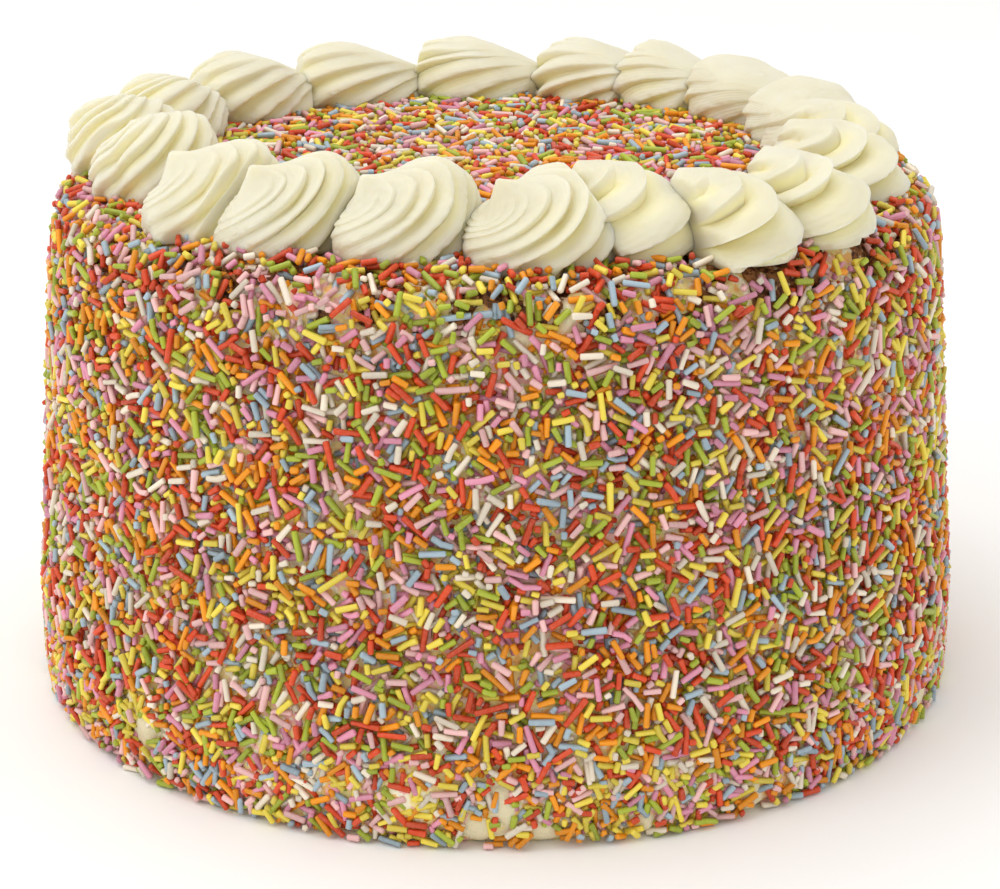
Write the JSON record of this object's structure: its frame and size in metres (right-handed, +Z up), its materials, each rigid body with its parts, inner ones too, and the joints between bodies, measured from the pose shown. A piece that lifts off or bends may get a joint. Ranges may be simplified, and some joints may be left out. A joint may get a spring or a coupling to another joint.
{
  "type": "sprinkle cake",
  "caption": "Tall round celebration cake coated all over in coloured sugar strands, with a ring of piped cream swirls round the top edge.",
  "frame": {"origin": "centre of the cake's flat underside", "axes": "+Z up along the cake's axis, -Y towards the front of the picture, +X to its right"},
  "size_m": [0.2034, 0.2033, 0.1264],
  "materials": {
    "sugar_strand_coat": "uneven coat of glossy sugar strands in eight colours over pale icing",
    "piped_cream": "soft satin ivory cream with sharp grooves"
  },
  "bodies": {
    "root": {"cake": "sugar_strand_coat", "cream_swirl_01": "piped_cream", "cream_swirl_02": "piped_cream", "cream_swirl_03": "piped_cream", "cream_swirl_04": "piped_cream", "cream_swirl_05": "piped_cream", "cream_swirl_06": "piped_cream", "cream_swirl_07": "piped_cream", "cream_swirl_08": "piped_cream", "cream_swirl_09": "piped_cream", "cream_swirl_10": "piped_cream", "cream_swirl_11": "piped_cream", "cream_swirl_12": "piped_cream", "cream_swirl_13": "piped_cream", "cream_swirl_14": "piped_cream", "cream_swirl_15": "piped_cream", "cream_swirl_16": "piped_cream", "cream_swirl_17": "piped_cream", "cream_swirl_18": "piped_cream", "cream_swirl_19": "piped_cream"}
  },
  "joints": []
}
